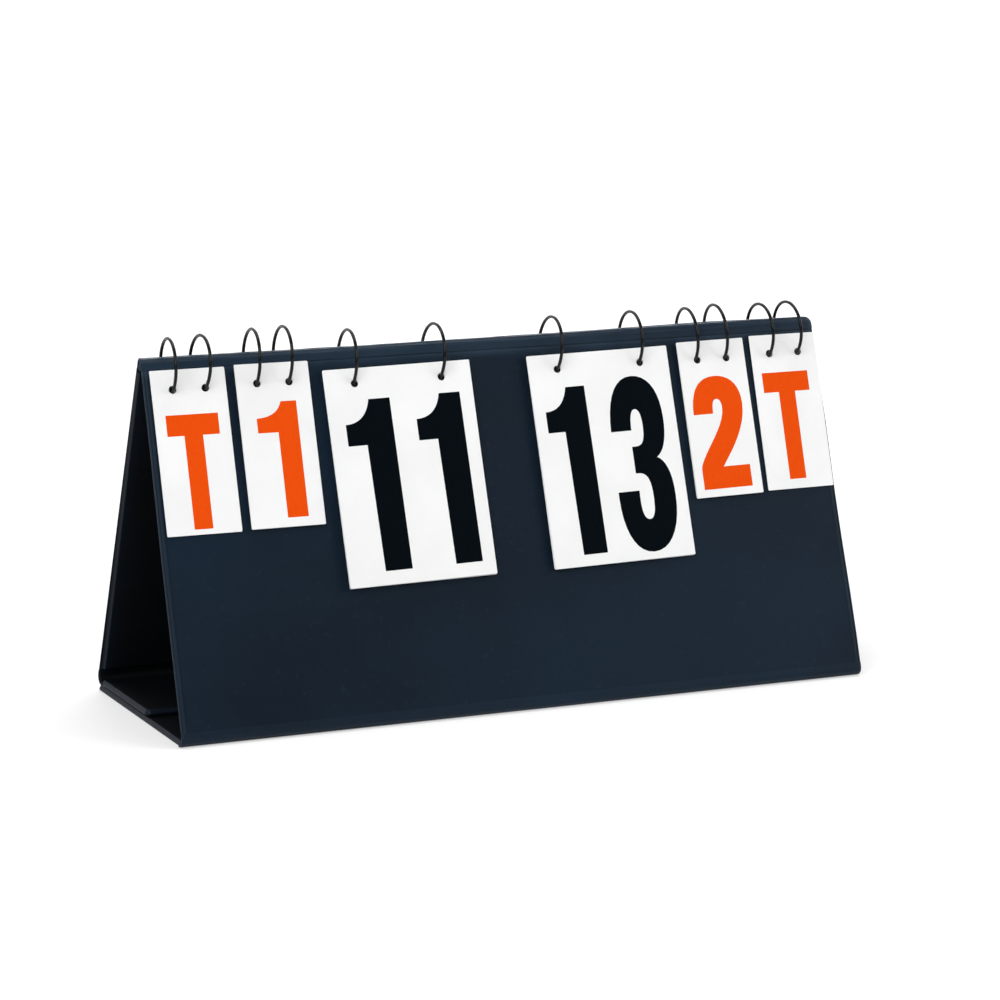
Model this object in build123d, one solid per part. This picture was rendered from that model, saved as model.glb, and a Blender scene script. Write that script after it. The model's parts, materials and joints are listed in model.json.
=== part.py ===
from build123d import *
import math
import os

# Tabletop flip scoreboard: a vinyl tent that stands on its own base flaps, with six stacks
# of numbered leaves hung over its ridge on twelve wire rings. Millimetres, +Z up, X across
# the board, the viewer on the -Y side. The origin is on the table, at the middle of the base.

# ---- cover ----
cover_width = 399.0
panel_length = 192.0      # ridge axis to front fold axis, along the slope
base_depth = 130.0        # front fold to rear edge of the base, outside
fold_radius = 4.2         # outside of every fold, about the axis that the panels turn on
film = 0.4                # one sheet of vinyl
panel_board = 2.4         # stiff board sealed in each panel
flap_board = 2.0          # thinner board sealed in each base flap
board_slack = 0.05        # air round a board in its pocket
weld_margin = 3.0         # flat welded rim round each pocket
bead_width = 0.8          # weld bead pressed up along the rim
bead_height = 0.2
panel_inset = 1.6         # fold axis to where a panel's own sheets start
hinge_gap = 0.3           # between a fold strip and the panel that turns beside it
corner_radius = 3.0       # corners of the cover's sheets
board_chamfer = 1.5       # corners of the boards
flap_reach = 70.0         # upper base flap, from its fold axis towards the front
flap_setback = 0.8        # rear edge of the lower flap, inside the base's full depth
flap_narrowing = 1.0      # each base flap is this much shorter than the cover at each end

# ---- hook-and-loop pads between the two base flaps ----
pad_length = 60.0
pad_width = 20.0
pad_thickness = 0.4
pad_gap = 0.1             # hooks to loops
pad_pitch = 150.0
pad_count = 3
pad_setback = 4.0         # from the upper flap's free edge

# ---- rings ----
wire = 1.5                # hexagon across its corners
ring_radius = 15.5        # centre line of the wire
ring_sides = 20           # straight runs in a ring
ring_butt = 1.0           # gap between the wire's ends, at the bottom inside the tent
points_drop = 2.0         # the heavy points leaves pull their rings this far below the ridge axis
panel_hole = 5.6          # holes in the panels, across flats
hole_sides = 8

# ---- leaves ----
leaf_thickness = 0.3
leaf_pitch = 0.35
leaf_hole = 4.4           # across flats
leaf_chamfer = 1.2        # clipped corners
wire_clearance = 0.65     # slanting wire to the top of the leaf hole that hangs on it
seat_gap = 0.1            # panel to the first leaf
free_gap = 0.3            # round a leaf that swings by itself
small_height = 86.0
large_height = 115.0
points_to_small = 2.061   # how many times as wide a points leaf is
small_spacing = 18.0      # between the two rings of a stack
large_spacing = 50.0
small_margin = 10.3       # hole centre below the leaf's top edge
large_margin = 8.0
end_margin = 3.9          # panel end to the time-out leaf, the mean of both ends
time_to_sets = 4.9        # gaps between neighbouring stacks
sets_to_points = 7.1
centre_gap = 34.2         # between the two points stacks
row_shift = 1.2           # the whole row of stacks hangs this far right of the middle

# ---- leaves on each side of the ridge, the loose outermost one of each included ----
front_leaf_count = {"time_out_left": 2, "sets_left": 7, "points_left": 11,
                    "points_right": 9, "sets_right": 6, "time_out_right": 2}
back_leaf_count = {"time_out_left": 0, "sets_left": 1, "points_left": 11,
                   "points_right": 13, "sets_right": 2, "time_out_right": 0}

# ---- worked out ----
panel_thickness = panel_board + 2 * board_slack + 2 * film
flap_thickness = flap_board + 2 * board_slack + 2 * film
strip = 2 * film          # a fold is both sheets welded together
lean = math.asin((base_depth / 2 - fold_radius) / panel_length)
ridge_z = fold_radius + panel_length * math.cos(lean)
base_lift = flap_thickness + 2 * pad_thickness + pad_gap
back_length = panel_length - base_lift / math.cos(lean)
hole_hang = leaf_hole / 2 - wire / 2 - wire_clearance

ridge_axis = (0.0, ridge_z)
front_axis = (-panel_length * math.sin(lean), fold_radius)
rear_axis = (back_length * math.sin(lean), fold_radius + base_lift)

row_room = (cover_width - centre_gap) / 2 - end_margin - time_to_sets - sets_to_points
small_width = row_room / (2 + points_to_small)
large_width = small_width * points_to_small
time_x = cover_width / 2 - end_margin - small_width / 2
sets_x = time_x - small_width - time_to_sets
points_x = (centre_gap + large_width) / 2


def stack(x, leaf, spacing, margin, drop):
    """Where one stack hangs and how its leaves are cut."""
    return {"x": x + row_shift, "leaf": leaf, "spacing": spacing, "margin": margin, "drop": drop}


small = ((small_width, small_height), small_spacing, small_margin, 0.0)
large = ((large_width, large_height), large_spacing, large_margin, points_drop)
stacks = {
    "time_out_left": stack(-time_x, *small),
    "sets_left": stack(-sets_x, *small),
    "points_left": stack(-points_x, *large),
    "points_right": stack(points_x, *large),
    "sets_right": stack(sets_x, *small),
    "time_out_right": stack(time_x, *small),
}


def face_frame(axis, normal, side=1):
    """Frame on a fold axis: local Z is outward, local -Y runs away from the fold."""
    return Plane(origin=(0, *axis), x_dir=(side, 0, 0), z_dir=(0, *normal))


front_frame = face_frame(ridge_axis, (-math.cos(lean), math.sin(lean)))
back_frame = face_frame(ridge_axis, (math.cos(lean), math.sin(lean)), side=-1)
lower_frame = face_frame(front_axis, (0, -1))
upper_frame = face_frame(rear_axis, (0, -1), side=-1)


def wire_place(offset, drop):
    """Distance down the slope at which a ring crosses the plane at this offset."""
    across = offset + drop * math.sin(lean)
    return drop * math.cos(lean) + math.sqrt(ring_radius ** 2 - across ** 2)


def leaf_place(index):
    """Offset of the middle of a resting leaf, counted outwards from the panel."""
    return fold_radius + seat_gap + index * leaf_pitch + leaf_thickness / 2


def free_place(resting):
    """Offset of the loose leaf that hangs outside the resting ones."""
    return fold_radius + resting * leaf_pitch + free_gap + leaf_thickness / 2


hole_row = wire_place(fold_radius - panel_thickness / 2, points_drop / 2)
ring_x = [s["x"] + k * s["spacing"] / 2 for s in stacks.values() for k in (-1, 1)]


def plate(frame, width, start, end, low, high, corner, chamfered=False, holes=()):
    """Flat sheet of one width between two distances down the slope, with a row of holes."""
    with BuildPart() as made:
        with BuildSketch(frame.offset(low)):
            with Locations((0, -(start + end) / 2)):
                if corner and not chamfered:
                    RectangleRounded(width, end - start, corner)
                else:
                    outline = Rectangle(width, end - start)
            if chamfered:
                chamfer(outline.vertices(), corner)
            if holes:
                with Locations(*[(x * frame.x_dir.X, -hole_row) for x in holes]):
                    RegularPolygon(panel_hole / 2, hole_sides, major_radius=False,
                                   rotation=180 / hole_sides, mode=Mode.SUBTRACT)
        extrude(amount=high - low)
    return made.part


def sealed_board(frame, width, start, end, board, corner=0.0, holes=(), bead=False):
    """Outer sheet, stiff board and inner sheet of one panel, welded round the rim."""
    top = fold_radius
    depth = board + 2 * board_slack
    rim = weld_margin
    inside = (start + rim, end - rim)
    outer = plate(frame, width, start, end, top - film, top, corner, holes=holes)
    if bead:
        line = rim / 2 - bead_width / 2
        ridge = plate(frame, width - 2 * line, start + line, end - line,
                      top, top + bead_height, 0)
        line += bead_width
        ridge -= plate(frame, width - 2 * line, start + line, end - line,
                       top, top + bead_height, 0)
        outer += ridge
    core = plate(frame, width - 2 * rim - 2 * board_slack, inside[0] + board_slack,
                 inside[1] - board_slack, top - film - board_slack - board,
                 top - film - board_slack, board_chamfer, chamfered=True, holes=holes)
    wall = film
    inner = plate(frame, width, start, end, top - 2 * film, top - film, corner)
    inner += plate(frame, width - 2 * rim + 2 * wall, inside[0] - wall, inside[1] + wall,
                   top - 2 * film - depth, top - film, board_chamfer + wall, chamfered=True)
    inner -= plate(frame, width - 2 * rim, *inside, top - film - depth, top - film,
                   board_chamfer, chamfered=True)
    if holes:
        inner -= hole_pins(frame, holes)
    return outer, core, inner


def hole_pins(frame, holes):
    """The row of ring holes as solid pins, to cut through a panel."""
    with BuildPart() as made:
        with BuildSketch(frame):
            with Locations(*[(x * frame.x_dir.X, -hole_row) for x in holes]):
                RegularPolygon(panel_hole / 2, hole_sides, major_radius=False,
                               rotation=180 / hole_sides)
        extrude(amount=fold_radius)
    return made.part


def fold_strip(axis, from_angle, to_angle, start_tab, end_tab):
    """Welded sheets bent round a fold axis, with a flat tab at an end that meets a panel."""
    def point(angle, radius, tab):
        a = math.radians(angle)
        return (axis[0] + radius * math.cos(a) - tab * math.sin(a),
                axis[1] + radius * math.sin(a) + tab * math.cos(a))
    radii = (fold_radius, fold_radius - strip)
    with BuildPart() as made:
        with BuildSketch(Plane.YZ):
            with BuildLine():
                for radius in radii:
                    CenterArc(axis, radius, from_angle, to_angle - from_angle)
                for angle, tab in ((from_angle, -start_tab), (to_angle, end_tab)):
                    ends = [point(angle, radius, tab) for radius in radii]
                    Line(*ends)
                    if tab:
                        for radius, end in zip(radii, ends):
                            Line(point(angle, radius, 0), end)
            make_face()
        extrude(amount=cover_width / 2, both=True)
    return made.part


def leaf(frame, place, offset):
    """One leaf on its plane, hung by two holes where its rings cross that plane."""
    width, height = place["leaf"]
    hole_down = wire_place(offset, place["drop"]) + hole_hang
    middle = hole_down - place["margin"] + height / 2
    x = place["x"] * frame.x_dir.X
    with BuildPart() as made:
        with BuildSketch(frame.offset(offset - leaf_thickness / 2)):
            with Locations((x, -middle)):
                outline = Rectangle(width, height)
            chamfer(outline.vertices(), leaf_chamfer)
            with Locations(*[(x + k * place["spacing"] / 2, -hole_down) for k in (-1, 1)]):
                RegularPolygon(leaf_hole / 2, hole_sides, major_radius=False,
                               rotation=180 / hole_sides, mode=Mode.SUBTRACT)
        extrude(amount=leaf_thickness)
    return made.part


def pack(frame, place, count):
    """The resting leaves of one stack on one side of the ridge, fanned along the wire."""
    return Compound([leaf(frame, place, leaf_place(i)) for i in range(count)])


def ring(x, drop):
    """Wire ring bent from short straight runs round the ridge, its ends nearly butted."""
    middle = ridge_z - drop
    opening = ring_butt / ring_radius
    step = (2 * math.pi - opening) / ring_sides
    reach = ring_radius * (3 - math.cos(step / 2)) / 2      # corners out, middles of runs in
    corners = [(opening - math.pi) / 2 + k * step for k in range(ring_sides + 1)]
    path = Polyline(*[(x, reach * math.cos(a), middle + reach * math.sin(a)) for a in corners])
    section = Plane(origin=path @ 0, z_dir=path % 0, x_dir=(1, 0, 0))
    profile = section * RegularPolygon(wire / 2, 6)
    return sweep(profile, path=path, transition=Transition.RIGHT)


def pads(frame, axis, low):
    """Row of hook-and-loop pads under the upper flap's free edge, or facing them."""
    middle = rear_axis[0] - flap_reach + pad_setback + pad_width / 2
    down = abs(middle - axis[0])
    across = [(k - (pad_count - 1) / 2) * pad_pitch for k in range(pad_count)]
    with BuildPart() as made:
        with BuildSketch(frame.offset(low)):
            with Locations(*[(x, -down) for x in across]):
                Rectangle(pad_length, pad_width)
        extrude(amount=pad_thickness)
    return made.part


def cover_parts():
    """The four sealed panels, the three folds that join them and the pads in the base."""
    made = {}
    span = cover_width - 2 * flap_narrowing
    lower_end = base_depth / 2 - flap_setback - front_axis[0]
    panels = {
        "front": (front_frame, cover_width, panel_inset, panel_length - panel_inset,
                  panel_board, 0.0, ring_x, True),
        "back": (back_frame, cover_width, panel_inset, back_length - panel_inset,
                 panel_board, 0.0, ring_x, True),
        "lower_flap": (lower_frame, span, hinge_gap, lower_end, flap_board, corner_radius),
        "upper_flap": (upper_frame, span, hinge_gap, flap_reach, flap_board, corner_radius),
    }
    for name, sizes in panels.items():
        outer, core, inner = sealed_board(*sizes)
        made[f"{name}_outer_sheet"] = outer
        made[f"{name}_board"] = core
        made[f"{name}_inner_sheet"] = inner
    turn = math.degrees(lean)
    made["ridge_fold"] = fold_strip(ridge_axis, turn, 180 - turn, 0, panel_inset)
    made["front_fold"] = fold_strip(front_axis, 180 - turn, 270, panel_inset, 0)
    made["rear_fold"] = fold_strip(rear_axis, -90, turn, 0, panel_inset)
    made["hook_pads"] = pads(upper_frame, rear_axis, fold_radius)
    made["loop_pads"] = pads(lower_frame, front_axis,
                             fold_radius - flap_thickness - pad_thickness)
    return made


def stack_parts():
    """Rings, resting leaves and loose leaves of the six stacks."""
    made = {}
    for name, place in stacks.items():
        for number, k in ((1, -1), (2, 1)):
            x = place["x"] + k * place["spacing"] / 2
            made[f"{name}_ring_{number}"] = ring(x, place["drop"])
        sides = (("front", front_frame, front_leaf_count), ("back", back_frame, back_leaf_count))
        for side, frame, counts in sides:
            resting = counts[name] - 1
            if resting > 0:
                made[f"{name}_{side}_pack"] = pack(frame, place, resting)
            if resting >= 0:
                made[f"{name}_{side}_leaf"] = leaf(frame, place, free_place(resting))
    return made


os.makedirs("parts", exist_ok=True)
parts = {**cover_parts(), **stack_parts()}
for node, shape in parts.items():
    export_step(shape, f"parts/{node}.step")
print(len(parts), "nodes; ridge at", round(ridge_z + fold_radius, 2),
      "lean", round(math.degrees(lean), 2))
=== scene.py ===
# %% [markdown]
# # Tabletop flip scoreboard
# A folding tent of navy vinyl, welded over stiff boards, stands on its own base. Six stacks of
# white plastic leaves hang over its ridge on twelve wire rings. The packed solids give every
# size and place. This file dresses them: soft sheets, welded rims, round wire, printed leaves.

# %% The packed frame
import json
import math
from types import SimpleNamespace

import bpy
import numpy as np
from mathutils import Matrix, Vector


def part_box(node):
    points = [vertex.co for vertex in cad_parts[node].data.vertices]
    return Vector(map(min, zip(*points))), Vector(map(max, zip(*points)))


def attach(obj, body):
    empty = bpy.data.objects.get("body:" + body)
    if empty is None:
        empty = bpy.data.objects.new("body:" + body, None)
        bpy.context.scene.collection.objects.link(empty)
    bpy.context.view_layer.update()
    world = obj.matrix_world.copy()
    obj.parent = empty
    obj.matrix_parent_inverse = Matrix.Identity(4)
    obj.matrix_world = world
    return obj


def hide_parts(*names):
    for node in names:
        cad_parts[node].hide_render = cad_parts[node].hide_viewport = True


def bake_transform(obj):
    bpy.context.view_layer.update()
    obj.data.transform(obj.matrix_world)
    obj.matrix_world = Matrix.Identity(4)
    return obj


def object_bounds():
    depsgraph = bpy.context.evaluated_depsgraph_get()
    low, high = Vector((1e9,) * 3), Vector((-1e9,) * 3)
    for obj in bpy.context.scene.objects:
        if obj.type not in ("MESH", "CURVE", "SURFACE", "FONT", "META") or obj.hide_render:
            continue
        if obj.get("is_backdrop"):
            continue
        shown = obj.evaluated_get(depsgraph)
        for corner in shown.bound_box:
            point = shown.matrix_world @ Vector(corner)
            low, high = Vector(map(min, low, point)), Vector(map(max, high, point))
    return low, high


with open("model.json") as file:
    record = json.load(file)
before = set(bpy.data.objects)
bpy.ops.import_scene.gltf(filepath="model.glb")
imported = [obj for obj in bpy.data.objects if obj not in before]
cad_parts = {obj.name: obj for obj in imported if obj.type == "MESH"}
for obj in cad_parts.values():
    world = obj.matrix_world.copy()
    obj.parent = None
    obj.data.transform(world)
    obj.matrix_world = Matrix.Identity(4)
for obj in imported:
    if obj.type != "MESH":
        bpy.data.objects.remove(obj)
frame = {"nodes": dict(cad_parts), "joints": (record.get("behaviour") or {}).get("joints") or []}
cad_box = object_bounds()
MM = 0.001
scene = bpy.context.scene

# %% [markdown]
# ## The viewer's eye
# A long lens from about two metres, a little to the left and a little above the ridge. A long
# lens keeps the upright edges nearly parallel, which a short one wouldn't. The view is written as
# a place and three directions, right, down and ahead, so that it can be set in one matrix.

# %% Camera
def put(name, data):
    """Stands a camera, a lamp, a curve or a mesh in the scene."""
    made = bpy.data.objects.new(name, data)
    scene.collection.objects.link(made)
    return made


EYE = (-0.85681, -1.82365, 0.52235)
RIGHT = Vector((0.904610, -0.426005, 0.014129))
DOWN = Vector((-0.074530, -0.190725, -0.978810))
AHEAD = Vector((0.419673, 0.884389, -0.204282))
lens = bpy.data.cameras.new("viewer")
lens.sensor_width = 36.0
lens.lens = 137.19
lens.clip_start, lens.clip_end = 0.1, 40.0
viewer = put("viewer", lens)
turn = Matrix((RIGHT, -DOWN, -AHEAD)).transposed().to_4x4()
viewer.matrix_world = Matrix.Translation(EYE) @ turn
scene.camera = viewer
print("viewer", round(Vector(EYE).length, 2), "m away, lens", round(lens.lens), "mm")

# %% [markdown]
# ## Where the faces lie
# Each panel turns about a fold axis, and the joints hold those axes. A place on a panel has three
# numbers: x along the ridge, n outwards from the fold axis, and u down the panel from that axis.
# With these three, a leaf or a sheet is drawn flat and then stood on its panel by one sum.

# %% Fold axes and faces
axis_of = {j["name"]: j["pos_m"] for j in frame["joints"]}
ridge = np.array(axis_of["panel_fold"][1:])
front_line = np.array(axis_of["lower_flap_fold"][1:])
rear_line = np.array(axis_of["upper_flap_fold"][1:])
slope = front_line - ridge
lean = math.atan2(-slope[0], -slope[1])
panel_length = float(np.hypot(*slope))
FOLD = 4.2 * MM      # from a fold's axis out to the face of its panels
FILM = 0.4 * MM      # one sheet of vinyl


class Face:
    """A flat face on a fold axis, with its outward and its downward direction in (y, z)."""

    def __init__(self, line, outward, down, side):
        self.line, self.outward, self.down = np.array(line), np.array(outward), np.array(down)
        self.side = side

    def place(self, x, n, u):
        x, n, u = np.broadcast_arrays(np.asarray(x, float), n, u)
        y = self.line[0] + n * self.outward[0] + u * self.down[0]
        z = self.line[1] + n * self.outward[1] + u * self.down[1]
        return np.stack([x, y, z], -1)

    def matrix(self, x, n, u):
        """Stands a flat drawing, x to the reader's right and y up, on the face."""
        across = Vector((self.side, 0, 0))
        out = Vector((0, *self.outward))
        up = Vector((0, *(-self.down)))
        turned = Matrix((across, up, out)).transposed().to_4x4()
        return Matrix.Translation(self.place(x, n, u)) @ turned


c, s = math.cos(lean), math.sin(lean)
faces = {
    "front": Face(ridge, (-c, s), (-s, -c), 1),
    "back": Face(ridge, (c, s), (s, -c), -1),
    "lower_flap": Face(front_line, (0, -1), (1, 0), 1),
    "upper_flap": Face(rear_line, (0, -1), (-1, 0), -1),
}
print("lean", round(math.degrees(lean), 2), "degrees, panel", round(panel_length / MM, 1), "mm")

# %% [markdown]
# ## Making nodes
# A finish, a sky and a floor are each a tree of nodes. Written out, a tree takes a line for every
# input and every link. Here one short word adds a node and takes its inputs as a table, in which
# an input is either a plain value or the output of a node made before it.

# %% Words for nodes
def tree_of(owner):
    owner.use_nodes = True
    owner.node_tree.nodes.clear()
    return owner.node_tree


def add(tree, kind, feeds=None, **settings):
    """Adds a node. feeds: its inputs, each a value or the output that drives it."""
    made = tree.nodes.new(kind)
    for key, value in settings.items():
        setattr(made, key, value)
    for key, value in (feeds or {}).items():
        if isinstance(value, bpy.types.NodeSocket):
            tree.links.new(value, made.inputs[key])
        else:
            made.inputs[key].default_value = value
    return made


def reckon(tree, operation, *values):
    """One step of arithmetic on numbers or outputs."""
    return add(tree, "ShaderNodeMath", dict(enumerate(values)), operation=operation).outputs[0]


def span(tree, value, low, high, start=0.0, end=1.0):
    """Carries the range from start to end over to the range from low to high."""
    return add(tree, "ShaderNodeMapRange", {
        "Value": value, "From Min": start, "From Max": end, "To Min": low,
        "To Max": high}).outputs["Result"]


def seen_rays(tree):
    """1 for rays from the eye, for rays from gloss or through glass, and for either."""
    path = add(tree, "ShaderNodeLightPath").outputs
    shiny = reckon(tree, "MAXIMUM", path["Is Glossy Ray"], path["Is Transmission Ray"])
    return path["Is Camera Ray"], shiny, reckon(tree, "MAXIMUM", path["Is Camera Ray"], shiny)


print("words: add, reckon, span, seen_rays")

# %% [markdown]
# ## Floor and sky
# The object stands on a plain pale floor under a plain pale sky. Both turn white only for the eye,
# for reflections and through glass, so that their white never adds light to the object. Near the
# object the floor glows less, which lets the shadow show.

# %% Floor
def floor_finish():
    made = bpy.data.materials.new("studio_floor")
    tree = tree_of(made)
    mottle = add(tree, "ShaderNodeTexNoise", {"Scale": 3.0, "Detail": 3.0}).outputs["Fac"]
    paper = add(tree, "ShaderNodeBsdfDiffuse", {"Color": span(tree, mottle, 0.60, 0.66)})
    where = add(tree, "ShaderNodeTexCoord").outputs["Object"]
    away = add(tree, "ShaderNodeVectorMath", {0: where}, operation="LENGTH").outputs["Value"]
    shine = reckon(tree, "MULTIPLY", seen_rays(tree)[2], span(tree, away, 0.42, 1.0, 0.45, 3.0))
    glow = add(tree, "ShaderNodeEmission", {"Strength": shine})
    both = add(tree, "ShaderNodeAddShader", {0: paper.outputs[0], 1: glow.outputs[0]})
    add(tree, "ShaderNodeOutputMaterial", {"Surface": both.outputs[0]})
    return made


REACH, UNDER = 9.0, -1e-4      # half the floor's width, and its place just under the base
floor_mesh = bpy.data.meshes.new("floor")
floor_mesh.from_pydata([(x * REACH, y * REACH, UNDER)
                        for x, y in ((-1, -1), (1, -1), (1, 1), (-1, 1))], [], [(0, 1, 2, 3)])
floor = put("floor", floor_mesh)
floor.data.materials.append(floor_finish())
floor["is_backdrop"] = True
print("floor", 2 * REACH, "m wide")

# %% Sky
sky = bpy.data.worlds.new("sky")
scene.world = sky
tree = tree_of(sky)
ways = add(tree, "ShaderNodeTexCoord").outputs["Generated"]
depth = add(tree, "ShaderNodeSeparateXYZ", {0: ways}).outputs["Y"]
eye, gloss, _ = seen_rays(tree)
room = add(tree, "ShaderNodeBackground", {
    "Color": (1, 1, 1, 1), "Strength": span(tree, depth, 0.30, 0.50, -0.5, 0.7)})
white = add(tree, "ShaderNodeBackground", {"Color": (1, 1, 1, 1), "Strength": 1.0})
shiny = reckon(tree, "MULTIPLY", gloss, span(tree, depth, 0.0, 1.0, 0.1, 0.6))
mix = add(tree, "ShaderNodeMixShader", {
    "Fac": reckon(tree, "MAXIMUM", eye, shiny), 1: room.outputs[0], 2: white.outputs[0]})
add(tree, "ShaderNodeOutputWorld", {"Surface": mix.outputs[0]})
print("sky of", len(tree.nodes), "nodes")

# %% [markdown]
# ## Lamps
# A large lamp from the upper left does most of the work and a weaker one from the right fills. A
# strip overhead wakes the wires and the ridge, and one behind lights the far side.

# %% Lamps
AIM = Vector((0, 0, 0.1))
# for each lamp: its place, its size and its power in watts
LAMPS = {"key": ((-1.7, -1.7, 1.7), (1.8, 1.8), 43.5), "fill": ((2.2, -1.3, 1.2), (1.6, 1.2), 21.0),
         "top": ((0.1, 0.2, 1.7), (1.6, 0.8), 12.0), "back": ((0.9, 2.2, 1.3), (1.4, 1.0), 18.0)}
for name, (place, size, watts) in LAMPS.items():
    data = bpy.data.lights.new(name, "AREA")
    data.shape, data.size, data.size_y, data.energy = "RECTANGLE", *size, watts
    lamp = put(name, data)
    lamp.location = place
    lamp.rotation_euler = (AIM - Vector(place)).to_track_quat("-Z", "Y").to_euler()
scene.view_settings.view_transform = "Standard"
print("lit by", len(LAMPS), "lamps")

# %% [markdown]
# ## Finishes
# Every finish is built from nodes on Object coordinates, in metres, so its grain has a real size.
# A small class keeps the shader and gives a short word to each thing that a finish is made of:
# noise for mottling, cells for grain, a beat for what repeats, and bump for relief.

# %% Words for finishes
def linear(*rgb):
    """A colour given as it looks on a screen, 0 to 255, as the light values that shaders want."""
    return tuple(v / 12.92 if v <= 0.04045 else ((v + 0.055) / 1.055) ** 2.4
                 for v in (x / 255 for x in rgb)) + (1.0,)


class Finish:
    """A material with a Principled shader, and short words for the nodes that feed it."""

    def __init__(self, name, colour, roughness, **plain):
        self.material = bpy.data.materials.new(name)
        self.tree = tree_of(self.material)
        self.shader = add(self.tree, "ShaderNodeBsdfPrincipled", {
            "Base Color": colour, "Roughness": roughness,
            **{key.replace("_", " "): value for key, value in plain.items()}})
        add(self.tree, "ShaderNodeOutputMaterial", {"Surface": self.shader.outputs[0]})
        self.where = add(self.tree, "ShaderNodeTexCoord").outputs["Object"]

    def noise(self, scale, detail=3.0, stretch=(1, 1, 1)):
        spread = add(self.tree, "ShaderNodeMapping", {"Vector": self.where, "Scale": stretch})
        return add(self.tree, "ShaderNodeTexNoise", {
            "Vector": spread.outputs[0], "Scale": scale, "Detail": detail}).outputs["Fac"]

    def cells(self, scale):
        return add(self.tree, "ShaderNodeTexVoronoi", {
            "Vector": self.where, "Scale": scale}).outputs["Distance"]

    def span(self, value, *limits):
        return span(self.tree, value, *limits)

    def sum(self, a, b):
        return reckon(self.tree, "ADD", a, b)

    def times(self, a, b):
        return reckon(self.tree, "MULTIPLY", a, b)

    def blend(self, share, a, b):
        return add(self.tree, "ShaderNodeMix", {"Factor": share, 6: a, 7: b},
                   data_type="RGBA").outputs[2]

    def painted(self, name):
        return add(self.tree, "ShaderNodeAttribute", attribute_name=name).outputs["Fac"]

    def beat(self, pitch):
        """A wave from -1 to 1 that repeats along any edge, pitch metres apart."""
        along = add(self.tree, "ShaderNodeVectorMath", {0: self.where, 1: (1.0, 1.0, 1.0)},
                    operation="DOT_PRODUCT").outputs["Value"]
        return reckon(self.tree, "SINE", self.times(along, 2 * math.pi / pitch))

    def colour(self, value):
        self.tree.links.new(value, self.shader.inputs["Base Color"])

    def rough(self, value):
        self.tree.links.new(value, self.shader.inputs["Roughness"])

    def bump(self, height, depth, strength=1.0):
        """depth is how tall the relief is, in metres, where height runs from 0 to 1."""
        relief = add(self.tree, "ShaderNodeBump", {
            "Height": height, "Distance": depth, "Strength": strength})
        self.tree.links.new(relief.outputs[0], self.shader.inputs["Normal"])


print("a finish has", sum(callable(v) for v in vars(Finish).values()) - 1, "words")

# %% [markdown]
# ## Vinyl
# The cover is a dark navy sheet with a fine pressed grain, cloudy where it has aged. Three shares
# are painted on its mesh as attributes. The first makes it paler: where it is rubbed from folding,
# as painted highlights on the raised lip and roll of the weld and on the wrinkles of the folds, and
# in a band under the ridge crease. The second is painted shade, darker along creases and just
# inside the roll of the weld. The third, weld, is where the seal is a row of small dots, each
# darkened with painted shade.

# %% The two vinyls
DOT_PITCH = 1.5 * MM


def vinyl(name, deep, mid, pale, shade_colour, roughness, grain):
    """Calendered sheet: cloudy navy, a pebbled grain, long creases, worn edges, painted light and
    shade.
    """
    made = Finish(name, mid, roughness, Specular_IOR_Level=0.14)
    clouds = made.noise(9.0, 4.0)
    streaks = made.noise(60.0, 3.0, (0.12, 1.0, 1.0))
    base = made.blend(made.span(clouds, 0.0, 1.0, 0.35, 0.65), deep, mid)
    scuffs = made.span(made.noise(260.0, 2.0), 0.0, 0.10, 0.62, 0.80)
    base = made.blend(scuffs, base, pale)
    # paler where rubbed, and painted highlights on the raised edges of the weld and on wrinkles
    worn = made.painted("worn")
    lighten = made.times(worn, made.span(streaks, 0.55, 1.15))
    base = made.blend(lighten, base, pale)
    # painted shade darkens the creases all along, and each pressed dot of the weld line
    dots = made.span(made.sum(made.beat(DOT_PITCH), made.span(made.noise(300.0), -0.7, 0.7)),
                     0.35, 1.0, -0.5, 0.5)
    dots = made.times(made.painted("weld"), dots)
    pressed = reckon(made.tree, "MAXIMUM", made.painted("pressed"), dots)
    made.colour(made.blend(pressed, base, shade_colour))
    made.rough(made.sum(made.span(streaks, roughness - 0.06, roughness + 0.08),
                        made.span(worn, 0.0, -0.05)))
    pebbles = made.cells(grain)
    fine = made.noise(grain * 2.1, 2.0)
    creases = made.noise(55.0, 4.0, (0.08, 1.0, 1.0))
    relief = made.sum(made.times(pebbles, 0.45), made.times(fine, 0.25))
    for height, share in ((creases, 2.2), (dots, -2.0)):
        relief = made.sum(relief, made.times(height, share))
    made.bump(relief, 0.07 * MM, 0.9)
    return made.material


navy = vinyl("navy_vinyl", linear(7, 23, 36), linear(11, 30, 46), linear(50, 69, 87),
             linear(2, 5, 10), 0.46, 1500.0)
# the lining is dark vinyl, made darker still as painted shade for the inside of the tent
lining = vinyl("lining_vinyl", linear(4, 6, 9), linear(6, 9, 13), linear(26, 44, 62),
               linear(1, 2, 3), 0.52, 1300.0)
print("vinyls:", navy.name, lining.name)

# %% [markdown]
# ## Board, wire, plastic, ink and tape
# Grey board is pressed paper, so it has flecks and short fibres. The ring wire is steel in black
# lacquer: smooth, with a clear gloss on top. The leaves are cut from white sheet with a satin
# skin. Ink sits on it in an even coat with faint mottling. The tapes are woven nylon.

# %% Board, wire, leaf plastic, inks, tapes
def greyboard():
    made = Finish("greyboard", linear(168, 160, 146), 0.9)
    flecks = made.noise(900.0, 4.0, (0.4, 1.0, 1.0))
    made.colour(made.blend(made.span(flecks, 0, 1, 0.35, 0.7), linear(150, 141, 126),
                           linear(186, 178, 164)))
    made.bump(made.noise(1600.0, 3.0), 0.06 * MM, 0.8)
    return made.material


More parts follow.
